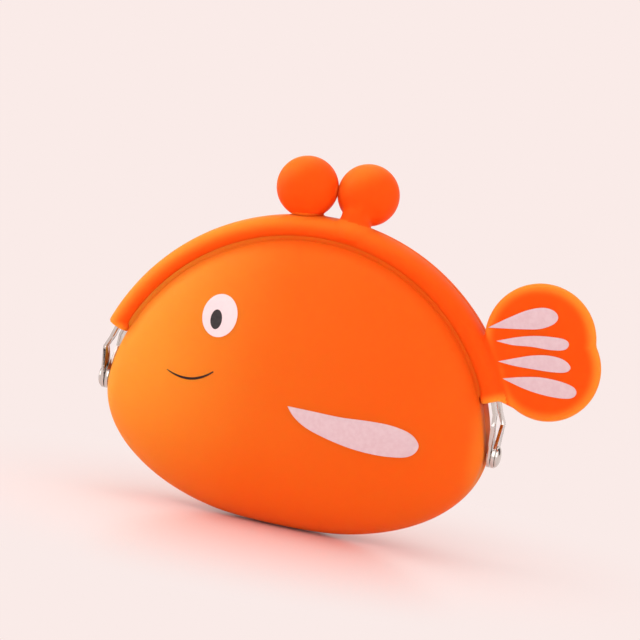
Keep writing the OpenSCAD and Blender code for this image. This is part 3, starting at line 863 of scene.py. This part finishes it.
class PURSE_OT_rims(bpy.types.Operator):
    """Moulds each rim with the ball cover, and the front one with the tail that grows from it"""

    bl_idname = "purse.rims"
    bl_label = "Rims, balls and tail"

    def execute(self, context):
        scene = context.scene
        silicone = shared_silicone(scene)
        for side in ("front", "back"):
            parts = [swept_sleeve(side + "_sleeve", silicone), *clasp_ball(side, silicone)]
            if side == "front":
                parts += [lobe(*size, silicone) for size in LOBES]
                parts.append(tail_web(silicone))
            rim = fused(side + "_rim_moulding", parts, scene.purse_sizes.fuse, silicone)
            if side == "back":
                rim.data.transform(Matrix.Rotation(math.pi, 4, "Z"))
            mark_painted_light(rim, front_rim_painted_light if side == "front" else rim_painted_light)
            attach(rim, side + "_half")
            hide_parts(side + "_rim", side + "_ball_cover")
            if side == "front":
                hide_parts("tail_fin")
        return {"FINISHED"}


class PURSE_OT_marks(bpy.types.Operator):
    """Prints the eye, the smile, the side fin and the stripes of the tail"""

    bl_idname = "purse.marks"
    bl_label = "Printed marks"

    def execute(self, context):
        scene = context.scene
        colours = scene.purse_finishes
        lift = scene.purse_sizes.print_lift / MM
        pale = printed_ink("printed_silicone_ink_pale", colours.ink_pale, "#d8bac1")
        white = printed_ink("printed_silicone_ink_eye_white", colours.ink_eye, "#f3dade")
        dark = printed_ink("printed_silicone_ink_dark", colours.ink_dark, "#2f2b2d")
        brown = printed_ink("printed_silicone_ink_smile", colours.ink_smile, "#1d0a08")
        # Name, outline, reading axis, lift, ink, grid, CAD node and slot
        prints = (
            ("eye_white_print", ellipse(*EYE), 90, lift, white, (48, 40), "eye_white", "ink_eye_white"),
            ("eye_pupil_print", ellipse(*PUPIL), 90, 2 * lift, dark, (32, 20), "eye_pupil", "ink_dark"),
            ("side_fin_print", through(FIN, 10), -6, lift, pale, (96, 20), "side_fin", "ink_pale_pink"),
            ("smile_print", smile_outline(), 9, lift, brown, (80, 4), "smile_line", "ink_dark"),
        )
        for name, outline, tilt, up, ink, grid, node, slot in prints:
            piece = patch(name, outline, tilt, up, on_belly, ink, *grid)
            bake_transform(piece)
            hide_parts(node)
        for number, (points, tilt) in enumerate(zip(STRIPES, STRIPE_TILTS), 1):
            outline = stripe_outline(points, tilt)
            piece = patch(f"tail_stripe_print_{number}", outline, tilt, lift, on_tail, pale, 64, 8)
            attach(piece, "front_half")
            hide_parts(f"tail_stripe_{number}")
        return {"FINISHED"}


def rivet_tree():
    """Geometry Nodes: sets the rivet's mesh at each end of the hinge line."""
    tree = bpy.data.node_groups.new("rivets_at_hinge_ends", "GeometryNodeTree")
    face = tree.interface
    face.new_socket("Geometry", in_out="INPUT", socket_type="NodeSocketGeometry")
    face.new_socket("Rivet", in_out="INPUT", socket_type="NodeSocketObject")
    face.new_socket("Finish", in_out="INPUT", socket_type="NodeSocketMaterial")
    face.new_socket("Geometry", in_out="OUTPUT", socket_type="NodeSocketGeometry")
    entry = add(tree, "NodeGroupInput")
    leave = add(tree, "NodeGroupOutput")
    spots = add(tree, "GeometryNodeMeshToPoints", {"Mesh": entry.outputs["Geometry"]})
    rivet = add(tree, "GeometryNodeObjectInfo", {"Object": entry.outputs["Rivet"]})
    outwards = add(tree, "GeometryNodeInputNamedAttribute", {"Name": "turn"}, data_type="FLOAT_VECTOR")
    facing = add(tree, "FunctionNodeEulerToRotation", {"Euler": outwards.outputs["Attribute"]})
    set_out = add(tree, "GeometryNodeInstanceOnPoints", {
        "Points": spots.outputs["Points"], "Instance": rivet.outputs["Geometry"],
        "Rotation": facing.outputs["Rotation"]})
    real = add(tree, "GeometryNodeRealizeInstances", {"Geometry": set_out.outputs["Instances"]})
    coat = add(tree, "GeometryNodeSetMaterial", {
        "Geometry": real.outputs["Geometry"], "Material": entry.outputs["Finish"]})
    tree.links.new(coat.outputs["Geometry"], leave.inputs["Geometry"])
    return tree


def rounded_strip(node, material):
    """The frame half's strip and tabs with the soft edges that stamping and tumbling leave."""
    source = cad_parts[node]
    mesh = source.data.copy()
    mesh.transform(source.matrix_world)
    strip = bpy.data.objects.new(node + "_tumbled", mesh)
    bpy.context.scene.collection.objects.link(strip)
    bm = bmesh.new()
    bm.from_mesh(mesh)
    bmesh.ops.remove_doubles(bm, verts=bm.verts, dist=1e-6)
    bmesh.ops.dissolve_limit(bm, angle_limit=math.radians(0.6), verts=bm.verts, edges=bm.edges)
    bm.to_mesh(mesh)
    bm.free()
    mesh.materials.clear()
    mesh.materials.append(material)
    shade_smooth(mesh)
    edge = strip.modifiers.new("tumbled", "BEVEL")
    edge.width = TUMBLED_EDGE * MM
    edge.segments = 3
    edge.limit_method = "ANGLE"
    edge.angle_limit = math.radians(35)
    edge.use_clamp_overlap = True
    plain = made_plain(strip, node + "_tumbled")
    mark_sharp(plain, 40)
    return plain


def domed_rivets(sizes, material):
    """Both rivets: a shank through the tabs' holes, a collar inside and a domed head outside."""
    dome_r, dome_h = sizes.dome_r / MM, sizes.dome_h / MM
    foot, head = TAB_X - 0.05, TAB_X + 2 * STRIP_T + TAB_GAP + 0.05
    profile = [(0, foot - 0.45), (COLLAR_R - 0.15, foot - 0.45), (COLLAR_R, foot - 0.3), (COLLAR_R, foot),
               (SHANK_R, foot), (SHANK_R, head), (dome_r - 0.12, head), (dome_r, head + 0.1)]
    for i in range(1, 17):
        a = math.radians(90 * i / 16)
        profile.append((dome_r * math.cos(a), head + 0.1 + (dome_h - 0.1) * math.sin(a)))
    rivet = revolved("rivet", profile, 64, material, lambda p: Vector((p.x, p.y, p.z - HINGE_H)))
    spots = bpy.data.meshes.new("spots")
    spots.from_pydata([(0, 0, HINGE_H * MM)] * 2, [], [])
    turn = spots.attributes.new("turn", "FLOAT_VECTOR", "POINT")
    turn.data[0].vector = (0, math.pi / 2, 0)
    turn.data[1].vector = (0, -math.pi / 2, 0)
    host = bpy.data.objects.new("hinge_rivets_domed", spots)
    bpy.context.scene.collection.objects.link(host)
    place = host.modifiers.new("place", "NODES")
    place.node_group = rivet_tree()
    set_inputs(place, {"Rivet": rivet, "Finish": material})
    rivets = made_plain(host, "hinge_rivets_domed")
    bpy.data.objects.remove(rivet)
    shade_smooth(rivets.data)
    return rivets


class PURSE_OT_metal(bpy.types.Operator):
    """Plates the frame and sets the domed rivets at its hinges"""

    bl_idname = "purse.metal"
    bl_label = "Frame and rivets"

    def execute(self, context):
        scene = context.scene
        plate = nickel_plate(scene.purse_finishes)
        for side in ("front", "back"):
            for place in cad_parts[side + "_clasp_bead"].material_slots:
                place.material = plate
            strip = rounded_strip(side + "_frame", plate)
            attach(strip, side + "_half")
            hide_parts(side + "_frame")
        rivets = domed_rivets(scene.purse_sizes, plate)
        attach(rivets, "pouch")
        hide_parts("hinge_rivets")
        return {"FINISHED"}


def pale_paper():
    """Coated paper of the sweep: faintly glossy, with clouds about 0.7 m across."""
    material, tree, out = new_material("pale_paper_sweep")
    place = add(tree, "ShaderNodeTexCoord")
    cloud = add(tree, "ShaderNodeTexNoise", {"Vector": place.outputs["Object"], "Scale": 1.5})
    tone = add(tree, "ShaderNodeMix", {
        "Factor": cloud.outputs["Fac"], "A": linear("#faeae7"), "B": linear("#f9e6e3")}, data_type="RGBA")
    paper = add(tree, "ShaderNodeBsdfPrincipled", {
        "Base Color": tone.outputs["Result"], "Roughness": 0.25, "Specular IOR Level": 0.35})
    # Away from the purse, the camera and bright metal see the sweep as evenly lit as the room behind it
    reach = add(tree, "ShaderNodeVectorMath", {0: place.outputs["Object"]}, operation="LENGTH")
    far = add(tree, "ShaderNodeMapRange", {
        "Value": reach.outputs["Value"], "From Min": 0.02, "From Max": 0.12},
        interpolation_type="SMOOTHSTEP")
    path = add(tree, "ShaderNodeLightPath")
    seen = add(tree, "ShaderNodeMath", {
        0: path.outputs["Is Camera Ray"], 1: path.outputs["Is Glossy Ray"]}, operation="MAXIMUM")
    share = add(tree, "ShaderNodeMath", {0: far.outputs["Result"], 1: seen.outputs[0]},
                operation="MULTIPLY")
    even = add(tree, "ShaderNodeEmission", {"Color": linear(ROOM_SEEN)})
    blend = add(tree, "ShaderNodeMixShader", {
        0: share.outputs[0], 1: paper.outputs["BSDF"], 2: even.outputs["Emission"]})
    tree.links.new(blend.outputs[0], out.inputs["Surface"])
    return material


def pale_floor():
    """A round sweep of paper just under the purse."""
    turn = [2 * math.pi * i / 96 for i in range(96)]
    mesh = bpy.data.meshes.new("floor")
    mesh.from_pydata([(FLOOR_R * math.cos(a), FLOOR_R * math.sin(a), -FLOOR_GAP) for a in turn],
                     [], [tuple(range(len(turn)))])
    mesh.materials.append(pale_paper())
    floor = bpy.data.objects.new("floor", mesh)
    bpy.context.scene.collection.objects.link(floor)


def pale_room():
    """A plain level of light on the purse, and a pale room for the camera and for bright metal."""
    world = bpy.data.worlds.new("pale_room")
    bpy.context.scene.world = world
    world.use_nodes = True
    tree = world.node_tree
    tree.nodes.clear()
    out = add(tree, "ShaderNodeOutputWorld")
    room = add(tree, "ShaderNodeBackground", {"Color": linear("#fbeeec"), "Strength": 0.5})
    seen = add(tree, "ShaderNodeBackground", {"Color": linear(ROOM_SEEN), "Strength": 1.0})
    # Glossy rays also see dark flags on both sides of the room, which give the metal its contrast
    place = add(tree, "ShaderNodeTexCoord")
    axes = add(tree, "ShaderNodeSeparateXYZ", {"Vector": place.outputs["Generated"]})
    sideways = add(tree, "ShaderNodeMath", {0: axes.outputs["X"]}, operation="ABSOLUTE")
    off_middle = add(tree, "ShaderNodeMath", {0: sideways.outputs[0], 1: FLAG_AT}, operation="SUBTRACT")
    from_flag = add(tree, "ShaderNodeMath", {0: off_middle.outputs[0]}, operation="ABSOLUTE")
    flags = add(tree, "ShaderNodeMapRange", {
        "Value": from_flag.outputs[0], "From Min": 0.1, "From Max": 0.2, "To Min": 0.03, "To Max": 1.0},
        interpolation_type="SMOOTHSTEP")
    mirrored = add(tree, "ShaderNodeBackground", {
        "Color": linear(ROOM_SEEN), "Strength": flags.outputs["Result"]})
    path = add(tree, "ShaderNodeLightPath")
    either = add(tree, "ShaderNodeMath", {
        0: path.outputs["Is Camera Ray"], 1: path.outputs["Is Transmission Ray"]}, operation="MAXIMUM")
    lit = add(tree, "ShaderNodeMixShader", {
        0: path.outputs["Is Glossy Ray"], 1: room.outputs[0], 2: mirrored.outputs[0]})
    mix = add(tree, "ShaderNodeMixShader", {0: either.outputs[0], 1: lit.outputs[0], 2: seen.outputs[0]})
    tree.links.new(mix.outputs[0], out.inputs["Surface"])


def soft_lamps():
    """Square soft boxes that all face the purse."""
    for name, spot, size, power in LAMPS:
        lamp = bpy.data.lights.new(name, "AREA")
        lamp.shape = "SQUARE"
        lamp.size = size
        lamp.energy = power
        lamp.color = (1.0, 0.97, 0.95)
        light = bpy.data.objects.new(name, lamp)
        light.location = spot
        light.rotation_euler = (Vector(LAMP_AIM) - Vector(spot)).to_track_quat("-Z", "Y").to_euler()
        bpy.context.scene.collection.objects.link(light)


def photo_camera():
    """The camera at the photograph's angle."""
    azimuth, elevation, roll = (math.radians(v) for v in (AZIMUTH, ELEVATION, ROLL))
    back = Vector((math.sin(azimuth) * math.cos(elevation), -math.cos(azimuth) * math.cos(elevation),
                   math.sin(elevation)))
    right = Vector((math.cos(azimuth), math.sin(azimuth), 0))
    up = back.cross(right)
    image_right = right * math.cos(roll) + up * math.sin(roll)
    image_up = up * math.cos(roll) - right * math.sin(roll)
    view = Matrix((image_right, image_up, back)).transposed().to_4x4()
    hinge = Vector((0, 0, HINGE_H * MM))
    view.translation = hinge + right * CAMERA_RIGHT + up * CAMERA_UP + back * CAMERA_BACK
    camera = bpy.data.cameras.new("photo_view")
    camera.sensor_width = 36
    camera.lens = LENS
    camera.clip_start = 0.01
    holder = bpy.data.objects.new("photo_view", camera)
    holder.matrix_world = view
    bpy.context.scene.collection.objects.link(holder)
    bpy.context.scene.camera = holder


class PURSE_OT_stage(bpy.types.Operator):
    """Sets the pale floor, the soft lights and the camera at the photograph's angle"""

    bl_idname = "purse.stage"
    bl_label = "Stage and camera"

    def execute(self, context):
        pale_floor()
        pale_room()
        soft_lamps()
        photo_camera()
        context.scene.view_settings.view_transform = "Standard"
        return {"FINISHED"}


class PURSE_PT_panel(bpy.types.Panel):
    """Lists the steps that build the purse"""

    bl_idname = "PURSE_PT_panel"
    bl_label = "Coin purse"
    bl_space_type = "VIEW_3D"
    bl_region_type = "UI"
    bl_category = "Purse"

    def draw(self, context):
        layout = self.layout
        for group in (context.scene.purse_sizes, context.scene.purse_finishes):
            for name in group.__annotations__:
                layout.prop(group, name)
        for step in STEPS:
            layout.operator(step.bl_idname)


STEPS = (PURSE_OT_stage, PURSE_OT_pouch, PURSE_OT_rims, PURSE_OT_marks, PURSE_OT_metal)
CLASSES = (PurseSizes, PurseFinishes) + STEPS + (PURSE_PT_panel,)


def register():
    for cls in CLASSES:
        bpy.utils.register_class(cls)
    bpy.types.Scene.purse_sizes = bpy.props.PointerProperty(type=PurseSizes)
    bpy.types.Scene.purse_finishes = bpy.props.PointerProperty(type=PurseFinishes)


def unregister():
    del bpy.types.Scene.purse_finishes
    del bpy.types.Scene.purse_sizes
    for cls in reversed(CLASSES):
        bpy.utils.unregister_class(cls)


def main():
    register()
    bpy.ops.purse.stage()
    bpy.ops.purse.pouch()
    bpy.ops.purse.rims()
    bpy.ops.purse.marks()
    bpy.ops.purse.metal()


if __name__ == "__main__":
    main()
